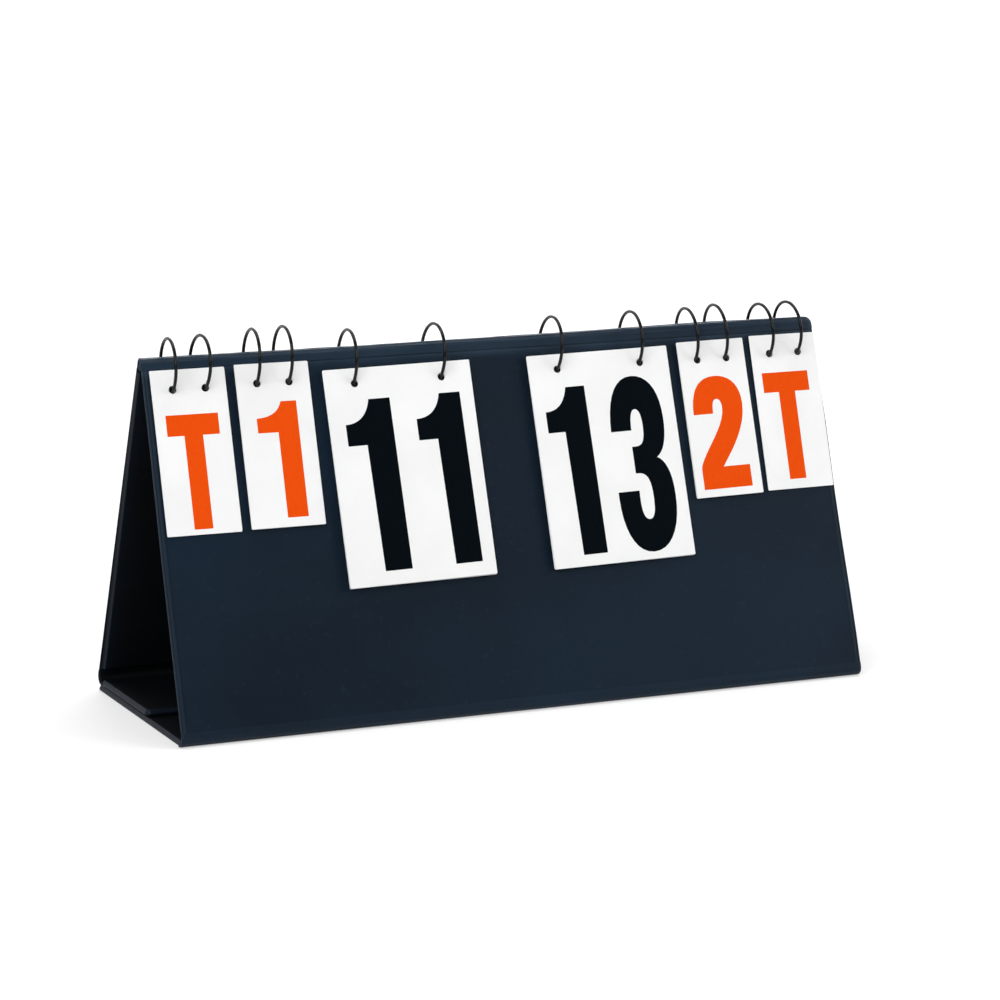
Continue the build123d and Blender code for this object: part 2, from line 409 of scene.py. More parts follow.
def lacquered_wire():
    made = Finish("black_wire", linear(5, 7, 8), 0.35, Specular_IOR_Level=0.08, Coat_Weight=0.32,
                  Coat_Roughness=0.05)
    dust = made.noise(420.0, 3.0)
    made.colour(made.blend(made.span(dust, 0.0, 0.3, 0.5, 0.8), linear(3, 4, 5),
                           linear(20, 24, 26)))
    made.rough(made.span(dust, 0.28, 0.42))
    made.bump(made.noise(1500.0, 2.0), 0.02 * MM, 0.5)
    return made.material


def white_sheet():
    made = Finish("leaf_plastic", (0.9, 0.9, 0.9, 1.0), 0.42, Specular_IOR_Level=0.4)
    haze = made.noise(35.0, 4.0)
    made.colour(made.blend(made.span(haze, 0, 1, 0.3, 0.7), (0.90, 0.905, 0.90, 1.0),
                           (0.955, 0.96, 0.955, 1.0)))
    made.rough(made.span(made.noise(220.0, 3.0), 0.36, 0.5))
    made.bump(made.noise(3500.0, 2.0), 0.006 * MM, 0.6)
    return made.material


def ink(name, colour, thin):
    made = Finish(name, colour, 0.55, Specular_IOR_Level=0.03)
    coat = made.noise(700.0, 4.0)
    made.colour(made.blend(made.span(coat, 0.0, 0.35, 0.45, 0.8), colour, thin))
    made.rough(made.span(made.noise(150.0, 2.0), 0.48, 0.62))
    made.bump(made.noise(2600.0, 2.0), 0.008 * MM, 0.5)
    return made.material


def woven_tape(name, dark, light):
    made = Finish(name, dark, 0.85, Sheen_Weight=0.3)
    threads = made.noise(2400.0, 2.0, (1.0, 0.25, 1.0))
    made.colour(made.blend(made.span(threads, 0, 1, 0.3, 0.7), dark, light))
    made.bump(threads, 0.08 * MM, 0.9)
    return made.material


board_finish = greyboard()
wire_finish = lacquered_wire()
leaf_finish = white_sheet()
orange = ink("orange_ink", linear(236, 78, 8), linear(242, 94, 26))
black = ink("black_ink", linear(2, 8, 14), linear(9, 16, 23))
hook_finish = woven_tape("hook_tape", linear(18, 19, 22), linear(38, 40, 44))
loop_finish = woven_tape("loop_tape", linear(22, 23, 26), linear(48, 50, 55))
print(len(bpy.data.materials), "materials")

# %% [markdown]
# ## Meshes from rows of points
# A sheet of vinyl is a grid of points whose height follows the distance to its edge. A grid keeps
# the faces even and lets the lines crowd where the weld needs them. The closed sheet is two such
# grids, outside and inside, joined round the edge, so that it is a real body with a thickness.

# %% Words for meshes
def object_from(name, points, polygons, materials):
    mesh = bpy.data.meshes.new(name)
    mesh.from_pydata([tuple(p) for p in np.asarray(points, float)], [], polygons)
    mesh.validate()
    for material in materials:
        mesh.materials.append(material)
    mesh.polygons.foreach_set("use_smooth", np.ones(len(mesh.polygons), bool))
    return put(name, mesh)


def coat(obj, finish):
    """Gives an object one finish in place of any it had."""
    obj.data.materials.clear()
    obj.data.materials.append(finish)


def final_shape(obj):
    """A curve or a modified object as the plain mesh that it comes to."""
    bpy.context.view_layer.update()
    graph = bpy.context.evaluated_depsgraph_get()
    return bpy.data.meshes.new_from_object(obj.evaluated_get(graph))


def bake_modifiers(obj):
    shape = final_shape(obj)
    old = obj.data
    obj.modifiers.clear()
    obj.data = shape
    shape.name = obj.name
    if old.users == 0:
        bpy.data.meshes.remove(old)


def paint(obj, name, values):
    layer = obj.data.attributes.new(name, "FLOAT", "POINT")
    layer.data.foreach_set("value", np.asarray(values, np.float32))


def face_outwards(obj):
    """Turns a closed mesh inside out where the volume that it encloses comes out negative."""
    mesh = obj.data
    mesh.calc_loop_triangles()
    co = np.array([v.co for v in mesh.vertices])
    tri = np.array([t.vertices for t in mesh.loop_triangles])
    a, b, d = co[tri[:, 0]], co[tri[:, 1]], co[tri[:, 2]]
    if np.einsum("ij,ij->i", a, np.cross(b, d)).sum() < 0:
        mesh.flip_normals()


print("a mesh can be made, baked, painted and faced outwards")

# %% Closed sheets
def grid_quads(rows, columns, base=0, turned=False):
    firsts = [base + i * columns + k for i in range(rows - 1) for k in range(columns - 1)]
    quads = [(a, a + 1, a + columns + 1, a + columns) for a in firsts]
    return [quad[::-1] for quad in quads] if turned else quads


def outline_of(rows, columns):
    """The grid's border as one closed walk of point numbers."""
    grid = np.arange(rows * columns).reshape(rows, columns)
    sides = grid[0], grid[1:, -1], grid[-1, -2::-1], grid[-2:0:-1, 0]
    return np.concatenate(sides).tolist()


def closed_sheet(name, skin, back, materials):
    """Two grids of equal size, skin outside and back inside, joined round the border.

    A second material, where there is one, goes on the back."""
    rows, columns = skin.shape[:2]
    count = rows * columns
    points = np.concatenate([skin.reshape(-1, 3), back.reshape(-1, 3)])
    polygons = grid_quads(rows, columns) + grid_quads(rows, columns, count, True)
    walk = outline_of(rows, columns)
    for a, b in zip(walk, walk[1:] + walk[:1]):
        polygons.append((b, a, a + count, b + count))
    made = object_from(name, points, polygons, materials)
    if len(materials) > 1:
        faces_back = np.zeros(len(made.data.polygons), np.int32)
        faces_back[(rows - 1) * (columns - 1):2 * (rows - 1) * (columns - 1)] = 1
        made.data.polygons.foreach_set("material_index", faces_back)
    face_outwards(made)
    return made


print("3 by 4 points make", len(grid_quads(3, 4)), "faces, with", len(outline_of(3, 4)),
      "points round the border")

# %% Spacing and unevenness
def crowded(length, step, close=(0, .2, .4, .65, .85, 1.05, 1.2, 1.35, 1.5, 1.7, 1.9, 2.15, 2.4,
                                2.6, 2.8, 3.0, 3.2, 3.4, 3.7, 4.2, 5.0, 7.0)):
    """Grid lines over a length in metres, crowded at both ends where the weld is."""
    edge = np.array(close) * MM
    inner = np.linspace(edge[-1], length - edge[-1], max(3, round(length / step)))
    return np.concatenate([edge[:-1], inner, (length - edge[:-1])[::-1]])


def ease(value, low, high):
    t = np.clip((value - low) / (high - low), 0, 1)
    return t * t * (3 - 2 * t)


def ripple(x, y, seed, scale):
    """Slow, repeatable unevenness between -1 and 1."""
    r = np.random.default_rng(seed)
    total = np.zeros(np.broadcast(x, y).shape)
    for weight in (1.0, 0.6, 0.4, 0.25):
        fx, fy = r.uniform(0.4, 1.6, 2) / (scale * weight)
        p, q = r.uniform(0, 6.28, 2)
        total = total + weight * np.sin(fx * x + p) * np.sin(fy * y + q)
    return total / 1.6


print("grid lines along a panel:", len(crowded(0.399, 0.006)))

# %% [markdown]
# ## Panel measures and punched holes
# Every size is read back from the packed solids. Twelve holes are punched through each tall panel
# for the rings. A punch is a row of closed prisms taken away from the sheet with a boolean, which
# needs closed shapes that face outwards.

# %% Measures and the punch
HALF_WIRE = 0.75 * MM          # of the packed rings
MID_PANEL = 2.55 * MM          # how far out the middle of a panel's thickness lies
PUNCH = 2.8 * MM               # radius of a hole in a panel


def panel_extent(name):
    """Width, start and end of a panel's sheets."""
    low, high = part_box(f"{name}_outer_sheet")
    face = faces[name]
    corners = np.array([(y, z) for y in (low.y, high.y) for z in (low.z, high.z)]) - face.line
    down = corners @ face.down
    if name in ("front", "back"):
        start = 1.6 * MM
        end = (face.line[1] + FOLD * face.outward[1] - low.z) / -face.down[1]
    else:
        start, end = down.min(), down.max()
    return high.x - low.x, start, end


def hole_row():
    """x of each ring hole and u of their row, taken from the rings themselves."""
    across, down = [], []
    for node in (n for n in frame["nodes"] if "_ring_" in n):
        low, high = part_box(node)
        radius = (high.z - low.z) / 2 - HALF_WIRE
        drop = ridge[1] - (high.z + low.z) / 2
        across.append((low.x + high.x) / 2)
        down.append(drop * c + math.sqrt(radius ** 2 - (MID_PANEL + drop * s) ** 2))
    return across, (min(down) + max(down)) / 2


def punched(obj, face):
    """Cuts the row of ring holes through a panel's sheet."""
    across, down = hole_row()
    points, polygons = [], []
    around = np.linspace(0, 2 * math.pi, 29)[:-1]
    k = len(around)
    for x in across:
        base = len(points)
        for n in (-2 * MM, 7 * MM):
            points += list(face.place(x + PUNCH * np.cos(around), n, down + PUNCH * np.sin(around)))
        polygons += [[base + i for i in range(k)][::-1], [base + k + i for i in range(k)]]
        polygons += [[base + i, base + (i + 1) % k, base + k + (i + 1) % k, base + k + i]
                     for i in range(k)]
    cutter = object_from("punch", points, polygons, [])
    face_outwards(cutter)
    cut = obj.modifiers.new("punch", "BOOLEAN")
    cut.operation, cut.solver, cut.object = "DIFFERENCE", "EXACT", cutter
    bake_modifiers(obj)
    bpy.data.objects.remove(cutter)


print("row of ring holes", round(hole_row()[1] / MM, 1), "mm down the panel")

# %% [markdown]
# ## The grid of a panel
# Both sheets of a panel share one grid. Its side edges are drawn in towards the ridge, as they are
# on a cover that has been folded often, and the flaps have rounded corners. Each point also knows
# how far it is from every edge, because the height of the vinyl follows from that.

# %% Grid of a panel
# how far each side edge has drawn in, in mm, at points down the panel: (left, right)
drawn_in = {
    "front": (([0, 40, 100, 140, 192], [1.3, 1.2, 0.55, 0.45, 0.35]),
              ([0, 30, 55, 95, 116, 130, 150, 177, 192],
               [2.7, 2.1, 1.5, 1.45, 1.05, 0.65, 0, -0.5, -0.5])),
    "back": (([0, 192], [2.0, 0.5]), ([0, 192], [2.4, 0.2])),
}
CORNER = 3.0                   # radius of a flap's free corners, in mm


def panel_grid(name, folded, seed):
    """One panel's points and their distances to its edges, in mm.

    folded names the edges that carry on into a fold: "start" is the edge at the panel's own fold
    axis, "end" the far one."""
    width, start, end = panel_extent(name)
    if name == "lower_flap":
        end += 1.5 * MM
    x, u = np.meshgrid(crowded(width, 0.006) - width / 2, start + crowded(end - start, 0.006))
    rounded = "flap" in name
    if rounded:
        # points near a far corner are drawn in along the corner's rays
        corner, mid, half = CORNER * MM, (start + end) / 2, (end - start) / 2
        ox = np.maximum(np.abs(x) - width / 2 + corner, 0)
        ou = np.maximum(u - mid - half + corner, 0)
        scale = np.maximum(ox, ou) / np.maximum(np.hypot(ox, ou), 1e-9)
        both = (ox > 0) & (ou > 0)
        x = np.where(both, np.sign(x) * (width / 2 - corner + ox * scale), x)
        u = np.where(both, mid + half - corner + ou * scale, u)
    g = SimpleNamespace(x=x, u=u, seed=seed, tall=not rounded, face=faces[name])
    g.side, g.near, far = (width / 2 - np.abs(x)) / MM, (u - start) / MM, (end - u) / MM
    if rounded:
        reach = np.hypot(np.maximum(CORNER - g.side, 0), np.maximum(CORNER - far, 0))
        near_corner = (g.side < CORNER) & (far < CORNER)
        far = np.where(near_corner, CORNER - reach, far)
        g.side = np.where(near_corner, CORNER - reach, g.side)
    g.free = g.side if "end" in folded else np.minimum(g.side, far)
    g.bent = np.minimum(g.near, far) if "end" in folded else g.near
    # the weld line wanders: it lies further in at the ridge than at the foot
    g.line = 1.3 - 0.3 * ease(u, start, end) + 0.10 * ripple(x, u, seed + 5, 0.03)
    left, right = (np.interp(u / MM, *edge) * MM for edge in drawn_in.get(name, [([0], [0])] * 2))
    g.pull = np.where(x < 0, left, right)
    g.shown = x * (1 - g.pull / (width / 2))
    return g


def paint_all(obj, **shares):
    """Paints each named share on both sides of a closed sheet."""
    for name, share in shares.items():
        paint(obj, name, np.tile(np.clip(share, 0, 1).ravel(), 2))


print("drawn in by up to", max(max(right[1]) for _, right in drawn_in.values()), "mm")

# %% [markdown]
# ## Outer sheets
# The real cover is two sheets sealed with heat round a board. Along the edge that leaves a flat
# lip, a row of pressed dots and a soft roll where the sheet climbs on to the board, and along the
# ridge a crease. Each of these is a small rise or dip that follows the distance to the edge.

# %% Outer sheets
def outer_sheet(name, g):
    x, u, near, line = g.x, g.u, g.near, g.line
    lip = 1 - ease(g.free, line - 0.5, line - 0.1)
    weld = np.exp(-((g.free - line) / 0.32) ** 2)
    roll = ease(g.free, line + 0.1, line + 0.6) * (1 - ease(g.free, line + 1.5, line + 2.2))
    on_board = ease(g.free, line + 0.2, line + 1.2)
    tuck = 1 - ease(g.bent, 0.5, 0.9)
    skin = FOLD - MM * (0.22 * (1 - on_board) - 0.10 * lip + 0.12 * (1 - ease(g.free, 0.0, 0.4)))
    skin = skin - MM * (0.12 * weld * (1 - tuck) + 0.17 * tuck)
    flat = on_board * ease(g.bent, 1.5, 6.0)
    skin = skin + 0.07 * MM * flat * (ripple(x, u, g.seed, 0.045) - 1)
    # painted shade: a dark line just inside the roll, on the board
    shade = 0.35 * np.exp(-((g.free - line - 2.3) / 0.45) ** 2) * ease(g.bent, 2.0, 8.0)
    crease = band = fresh = 0.0
    if g.tall:
        # pressed in along the ridge, where the board ends and the sheet starts to bend
        path = 1.1 + 0.12 * ripple(x, x * 0, g.seed + 2, 0.03)
        strength = 0.62 + 0.38 * ripple(x, x * 0 + 1, g.seed + 4, 0.015)
        crease = np.clip(strength, 0.1, 1) * np.exp(-((near - path) / 0.24) ** 2)
        crease = crease * ease(g.side, 1.0, 4.0)
        skin = skin - 0.22 * MM * crease
        band = 0.42 * ease(near, path + 0.2, path + 0.6) * (1 - ease(near, path + 1.6, path + 4.6))
        band = band * (0.75 + 0.5 * ripple(x, x * 0 + 2, g.seed + 8, 0.01))
        fresh = 0.26 * (1 - ease(near, 1.8, 3.0))
    # the back of the sheet stays under its skin everywhere, or the punch can't tell in from out
    under = np.minimum(FOLD - FILM, skin - 0.08 * MM)
    made = closed_sheet(f"{name}_outer_vinyl", g.face.place(g.shown, skin, u),
                        g.face.place(g.shown, under, u), [navy])
    # paler where rubbed, with painted highlights on the lip and on the roll; a band under the ridge
    # crease and the top edge are painted paler too
    worn = (0.42 * lip + 0.20 * roll + band + fresh) * (0.85 + 0.3 * ripple(x, u, g.seed + 7, 0.02))
    # the ridge crease and the shade line are painted darker, as shade
    paint_all(made, worn=worn, pressed=np.maximum(crease, shade),
              weld=weld * ease(g.bent, 0.5, 2.0))
    return made


print("outer sheets are", FILM / MM, "mm thick")

# %% [markdown]
# ## Inner sheets
# The inner sheet wraps the board, so it leaves the rim and rises over the board's edge. It is made
# on the same grid as the outer one, with another height for each point.

# %% Inner sheets
DEEP, SHALLOW = 3.3 * MM, 2.9 * MM


def inner_sheet(name, g):
    depth = DEEP if g.tall else SHALLOW
    edge = np.minimum(g.side + g.pull / MM if g.tall else g.free, g.bent)
    over = ease(edge, 1.75, 3.0) if g.tall else ease(edge, -0.4, 1.3)
    pillow = 0.10 * MM * (1 + ripple(g.x, g.u, g.seed + 3, 0.04)) * ease(edge, 3.0, 9.0)
    inside = FOLD - 2 * FILM - over * (depth - 2 * FILM) + pillow
    seat = inside + FILM + (FOLD - 2 * FILM - inside) * (1 - ease(edge, 0.0, 0.6))
    seat = np.minimum(seat, FOLD - FILM)
    made = closed_sheet(f"{name}_inner_vinyl", g.face.place(g.shown, inside, g.u),
                        g.face.place(g.shown, seat, g.u), [lining])
    worn = 0.22 * (1 - ease(g.free, 1, 10)) if g.tall else 0.36 * (1 - ease(g.free, 1.0, 2.6))
    paint_all(made, worn=worn)
    return made


print("inner sheets lie up to", DEEP / MM, "mm behind the face of a panel, and", SHALLOW / MM,
      "mm behind that of a flap")

# %% The four panels
# for each panel: the edges that carry on into a fold, and the seed of its unevenness
panels = {"front": (("start", "end"), 11), "back": (("start", "end"), 23),
          "lower_flap": (("start",), 37), "upper_flap": (("start",), 53)}
for name, (folded, seed) in panels.items():
    grid = panel_grid(name, folded, seed)
    for obj, part, slot in ((outer_sheet(name, grid), "outer_sheet", "cover_vinyl"),
                            (inner_sheet(name, grid), "inner_sheet", "lining_vinyl")):
        if grid.tall:
            punched(obj, grid.face)
        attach(obj, f"{name}_panel" if grid.tall else name)
        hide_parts(f"{name}_{part}")
        print(obj.name, len(obj.data.polygons), "faces")
    coat(frame["nodes"][f"{name}_board"], board_finish)

# %% [markdown]
# ## Folds
# Between the panels the two welded sheets carry on without a board and bend round. The ridge is
# the one that shows most: it is soft, creased along its length and a little uneven, and its end
# corners have rounded off with use. Each fold is a strip swept round its axis. It crosses a joint
# but is tied to neither body, so it stays as it is when the tent folds.

# %% A fold strip
def fold(name, node, line, angles, laps, between, seed, wear_and_light, crease=0.3 * MM,
         ends=((0, 0), (0, 0)), lift=((0,), (0,)), rows=31):
    """A strip of welded sheets round one fold axis; angles in degrees from +Y towards +Z.

    laps: how far it lies over the panel at each end. between: where its bend starts and ends; not
    used.
    ends: how much shorter it is on the left and on the right, in mm, each at its first and at its
    last edge. lift: x and height, in mm, of how far it stands off its fold in the middle.
    wear_and_light: how pale it is, from rubbing and from painted highlights on its wrinkles, and
    how dark the painted shade in its crease lines is."""
    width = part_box(node)[1].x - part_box(node)[0].x
    run = np.array([1.0, 0.98, 0.85, 0.7, 0.5, 0.25])
    steps = [(angles[0], -laps[0] * r) for r in run]
    steps += [(a, 0.0) for a in np.linspace(*angles, rows)]
    steps += [(angles[1], laps[1] * r) for r in run[::-1]]
    arc, tab = np.array(steps).T
    xs = np.linspace(-width / 2, width / 2, 241)
    x, a = np.meshgrid(xs, np.radians(arc))
    t = np.meshgrid(xs, tab)[1]
    share = np.clip((arc - angles[0]) / (angles[1] - angles[0]), 0, 1)[:, None]
    middle = np.sin(np.pi * share)
    along = ripple(x, a * 0.01, seed, 0.035)
    waves = np.sin(a * 11 + 1.6 * ripple(x, a * 0, seed + 1, 0.05))
    fine = ripple(x * 0.25, a * 0.012, seed + 2, 0.0018)
    dent = crease * middle * (0.22 * along + 0.20 * waves + 0.10 * fine)
    dent = dent + middle * np.interp(x / MM, *lift) * MM
    corner = np.maximum(0, 1 - (width / 2 - x) / (3 * MM))
    dent = dent - (1.0 * MM if crease > 0.5 * MM else 0) * middle * corner ** 2
    lines = 0
    for place in (0.62, 0.82):
        way = place + 0.03 * ripple(x, a * 0, seed + round(place * 100), 0.04)
        force = 0.35 + 0.65 * ripple(x, a * 0 + 1, seed + 9 + round(place * 10), 0.02)
        lines = lines + np.clip(force, 0, 1) * np.exp(-((share - way) / 0.022) ** 2)
    dent = dent - 0.25 * crease * lines
    radius = FOLD + dent
    thin = ease(np.abs(t), 1.1 * MM, 1.7 * MM)
    left, right = (MM * (first + (last - first) * share ** 2) for first, last in ends)
    shown = x * (1 - np.where(x < 0, left, right) / (width / 2))

    def bend(r):
        y = line[0] + r * np.cos(a) - t * np.sin(a)
        z = line[1] + r * np.sin(a) + t * np.cos(a)
        return np.stack([shown, y, z], -1)

    made = closed_sheet(name, bend(radius), bend(radius - 2 * FILM + 0.68 * MM * thin),
                        [navy, lining])
    # paler where the bend and its corners rub, with painted highlights on the crests of the
    # wrinkles and less paleness in the crease lines
    pale = wear_and_light * (1 + (0.4 * middle + 0.7 * waves * middle + 0.5 * fine * middle))
    pale = (pale + wear_and_light * corner) * (0.9 + 0.35 * along) - 0.1 * lines
    inner_side = np.zeros(pale.size)
    paint(made, "worn", np.clip(np.concatenate([pale.ravel(), inner_side]), 0, 1))
    # painted shade darkens the crease lines
    pressed = np.clip(0.6 * lines * (wear_and_light / 0.3), 0, 1)
    paint(made, "pressed", np.concatenate([pressed.ravel(), inner_side]))
    start, end = between
    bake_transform(made)
    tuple(start)
    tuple(end)
    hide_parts(node)
    print(name, len(made.data.polygons), "faces")


# %% Ridge, front and rear folds
tilt = math.degrees(lean)
LAP = 2.4 * MM
OUT, DOWN_OUT = np.array((FOLD, 0)), np.array((0, -FOLD))


def at(line, *steps):
    """A place on a fold's face, over the middle of the ridge."""
    return (0, *(line + sum(steps)))


fold("ridge_strip", "ridge_fold", ridge, (tilt, 180 - tilt), (LAP, LAP),
     (at(ridge, OUT), at(ridge, -OUT)), seed=5, wear_and_light=0.36,
     crease=0.75 * MM, ends=((2.2, 0), (2.9, 2.6)),
     lift=((-200, -150, -70, 0, 60, 130, 160, 200), (0.55, 0.5, 0.0, 0.3, 0.6, 1.2, 1.1, 0.9)),
     rows=81)
fold("front_fold_strip", "front_fold", front_line, (180 - tilt, 270), (LAP, LAP / 2),
     (at(front_line, -OUT), at(front_line, DOWN_OUT)), seed=6,
     wear_and_light=0.10, ends=((0.3, 0.3), (-0.5, -0.3)))
fold("rear_fold_strip", "rear_fold", rear_line, (-90, tilt), (LAP / 2, LAP),
     (at(rear_line, DOWN_OUT), at(rear_line, OUT)), seed=7,
     wear_and_light=0.10, ends=((0.5, 0.5), (0.5, 0.2)))
print("three folds; the tall panels stand at", round(tilt, 1), "degrees")

# %% [markdown]
# ## Ring wire
# Each ring is one length of wire bent round until its ends nearly meet. A circle swept with a
# round section is a rule, so it is a node tree: an arc that stops short of a full turn, a small
# circle run along it, and flat ends. Its sizes are named inputs. Each ring stands where the packed
# ring stands, a little askew in its holes, because nobody sets them straight.

# %% Words for geometry nodes
def new_tree(name, **inputs):
    """A tree with one named input for each size: its kind of socket and its first value."""
    tree = bpy.data.node_groups.new(name, "GeometryNodeTree")
    for label, (kind, value) in inputs.items():
        socket = tree.interface.new_socket(label, in_out="INPUT", socket_type=f"NodeSocket{kind}")
        if value is not None:
            socket.default_value = value
    tree.interface.new_socket("Geometry", in_out="OUTPUT", socket_type="NodeSocketGeometry")
    return tree, add(tree, "NodeGroupInput").outputs


def close_tree(tree, geometry, finish):
    """Every tree ends with its copies made real and its finish set."""
    real = add(tree, "GeometryNodeRealizeInstances", {0: geometry})
    coat = add(tree, "GeometryNodeSetMaterial", {0: real.outputs[0], "Material": finish})
    add(tree, "NodeGroupOutput", {0: coat.outputs[0]})
    return tree


def chance(tree, seed, most):
    """A random number for each copy, between most and its negative."""
    return add(tree, "FunctionNodeRandomValue", {"Seed": seed, 2: -most, 3: most},
               data_type="FLOAT").outputs[1]


def vector(tree, **parts):
    return add(tree, "ShaderNodeCombineXYZ", parts).outputs[0]


def sown(tree, blank, points, turn):
    """A copy of the blank on each point, turned about the upright."""
    shape = add(tree, "GeometryNodeObjectInfo", {"Object": blank}).outputs["Geometry"]
    return add(tree, "GeometryNodeInstanceOnPoints", {
        "Points": points, "Instance": shape, "Rotation": vector(tree, Z=turn)}).outputs[0]


def grow(name, tree, values):
    """Runs a tree on a new object and leaves a plain mesh, standing where the tree put it."""
    made = object_from(name, [(0, 0, 0)], [], [])
    work = made.modifiers.new("grow", "NODES")
    work.node_group = tree
    ids = {i.name: i.identifier for i in tree.interface.items_tree
           if i.item_type == "SOCKET" and i.in_out == "INPUT"}
    for label, value in values.items():
        work[ids[label]] = value
    bake_modifiers(made)
    return made


print("words: new_tree, close_tree, chance, vector, sown, grow")

# %% The ring tree
def ring_tree():
    tree, given = new_tree("wire_ring", Radius=("Float", 15.5 * MM), Wire=("Float", 1.5 * MM),
                           Gap=("Float", MM))
    opening = reckon(tree, "DIVIDE", given["Gap"], given["Radius"])
    arc = add(tree, "GeometryNodeCurveArc", {
        "Resolution": 97, "Radius": given["Radius"],
        "Start Angle": reckon(tree, "MULTIPLY", opening, 0.5),
        "Sweep Angle": reckon(tree, "SUBTRACT", 2 * math.pi, opening)})
    section = add(tree, "GeometryNodeCurvePrimitiveCircle", {
        "Resolution": 12, "Radius": reckon(tree, "MULTIPLY", given["Wire"], 0.5)})
    tube = add(tree, "GeometryNodeCurveToMesh", {
        "Curve": arc.outputs["Curve"], "Profile Curve": section.outputs["Curve"],
        "Fill Caps": True})
    soft = add(tree, "GeometryNodeSetShadeSmooth", {0: tube.outputs[0]})
    return close_tree(tree, soft.outputs[0], wire_finish)


ring_nodes = ring_tree()
print("ring tree of", len(ring_nodes.nodes), "nodes")

# %% The twelve rings
WIRE = 1.8 * MM
# the middle of a panel hole: how far in front of the ridge and how far below it
HOLE_OUT, HOLE_DOWN = 12 * MM, 12.6 * MM
# for each stack, its two rings: radius, height of the top over its nominal place and shift to the
# right, all in millimetres, then lean to the right and turn about the upright, in degrees
ring_pose = {
    "time_out_left": ((14.7, -1.4, -0.2, 1.2, 4.6), (14.7, -0.7, -0.1, 3.5, -0.4)),
    "sets_left": ((15.7, 1.0, -0.5, 2.5, 5.4), (15.9, 1.4, -0.6, 2.2, 3.7)),
    "points_left": ((16.1, -0.4, -0.1, 2.8, 5.0), (16.2, 0.1, 0.0, 3.9, 1.7)),
    "points_right": ((16.1, 0.0, 0.3, 4.5, 3.3), (15.9, 0.1, -0.5, 1.1, 3.1)),
    "sets_right": ((15.6, -2.0, -1.2, -2.8, 4.9), (16.0, -1.0, -1.1, -3.3, 4.4)),
    "time_out_right": ((15.5, -2.0, -0.6, -1.6, 0.8), (15.4, -1.7, -1.0, -1.7, -0.7))}
rings = {}
for stack, poses in ring_pose.items():
    for number, (radius, top, right, leaning, yaw) in zip((1, 2), poses):
        node = f"{stack}_ring_{number}"
        low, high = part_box(node)
        middle = (low + high) / 2
        rings[node] = (middle, (high.z - low.z) / 2 - HALF_WIRE)
        ring = grow(f"{node}_wire", ring_nodes, {"Radius": radius * MM, "Wire": WIRE, "Gap": MM})
        # the arc lies flat with its gap at +X; stood up in YZ, the gap is at the bottom
        centre = Vector((middle.x, 0, high.z - HALF_WIRE + (top - radius) * MM))
        hole = Vector((middle.x, -HOLE_OUT, ridge[1] - HOLE_DOWN))
        about_hole = (Matrix.Translation(hole + Vector((right * MM, 0, 0)))
                      @ Matrix.Rotation(math.radians(leaning), 4, "Y")
                      @ Matrix.Rotation(math.radians(-yaw), 4, "Z") @ Matrix.Translation(-hole))
        ring.data.transform(about_hole @ Matrix.Translation(centre)
                            @ Matrix.Rotation(math.pi / 2, 4, "Y"))
        face_outwards(ring)
        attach(ring, node)
        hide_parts(node)
print(len(rings), "rings about a nominal radius of", round(rings[node][1] / MM, 2), "mm")

# %% [markdown]
# ## Leaves
# A leaf is a die-cut plastic sheet with small round corners and two punched holes. It is drawn
# flat as a filled curve, given its thickness, and stood on its panel. The leaves that rest behind
# the loose one fan out along the wire: each is 0.35 mm further out, and so a little higher or
# lower on the ring. That is a rule with a count, so a node tree deals them out like cards, with a
# small random turn for each.

# %% Leaf blank
def flat_curve(name, loops, thickness, rounding=0.0):
    """Closed outlines, filled between, as a thin solid about the drawing plane."""
    curve = bpy.data.curves.new(name, "CURVE")
    curve.dimensions, curve.fill_mode = "2D", "BOTH"
    curve.extrude = thickness / 2 - rounding
    curve.bevel_depth, curve.bevel_resolution = rounding, 0
    curve.offset = -rounding
    for loop in loops:
        spline = curve.splines.new("POLY")
        spline.points.add(len(loop) - 1)
        for point, (px, py) in zip(spline.points, loop):
            point.co = (px, py, 0, 1)
        spline.use_cyclic_u = True
    drawn = put(name, curve)
    shape = final_shape(drawn)
    bpy.data.objects.remove(drawn)
    bpy.data.curves.remove(curve)
    return shape


LEAF_CORNER = 0.5 * MM
LEAF_HOLE = 2.1 * MM           # radius of a hole in a leaf


def leaf_loops(width, height, spacing, margin):
    """Outline and holes of a leaf; the origin is midway between its two holes."""
    corner, outline = LEAF_CORNER, []
    for cx, cy, first in ((width / 2, margin, 0), (-width / 2, margin, 90),
                          (-width / 2, margin - height, 180), (width / 2, margin - height, 270)):
        ox = cx - math.copysign(corner, cx)
        oy = cy - (corner if first in (0, 90) else -corner)
        outline += [(ox + corner * math.cos(math.radians(first + a)),
                     oy + corner * math.sin(math.radians(first + a))) for a in range(0, 91, 15)]
    holes = [[(k * spacing / 2 + LEAF_HOLE * math.cos(a), LEAF_HOLE * math.sin(a))
              for a in np.linspace(0, 2 * math.pi, 25)[:-1]] for k in (-1, 1)]
    return [outline, *holes]


print("a leaf's outline has", len(leaf_loops(41 * MM, 86 * MM, 20 * MM, 10 * MM)[0]), "points")

# %% The pack tree
LEAF = 0.3 * MM                # thickness of a leaf
PITCH = 0.35 * MM              # from one resting leaf to the next
FIRST = 0.25 * MM              # from the panel to the middle of the first one
AWAY = 0.45 * MM               # from the last resting leaf's pitch to the loose one
HANG = 0.8 * MM                # a leaf hangs from the wire by the top of its holes


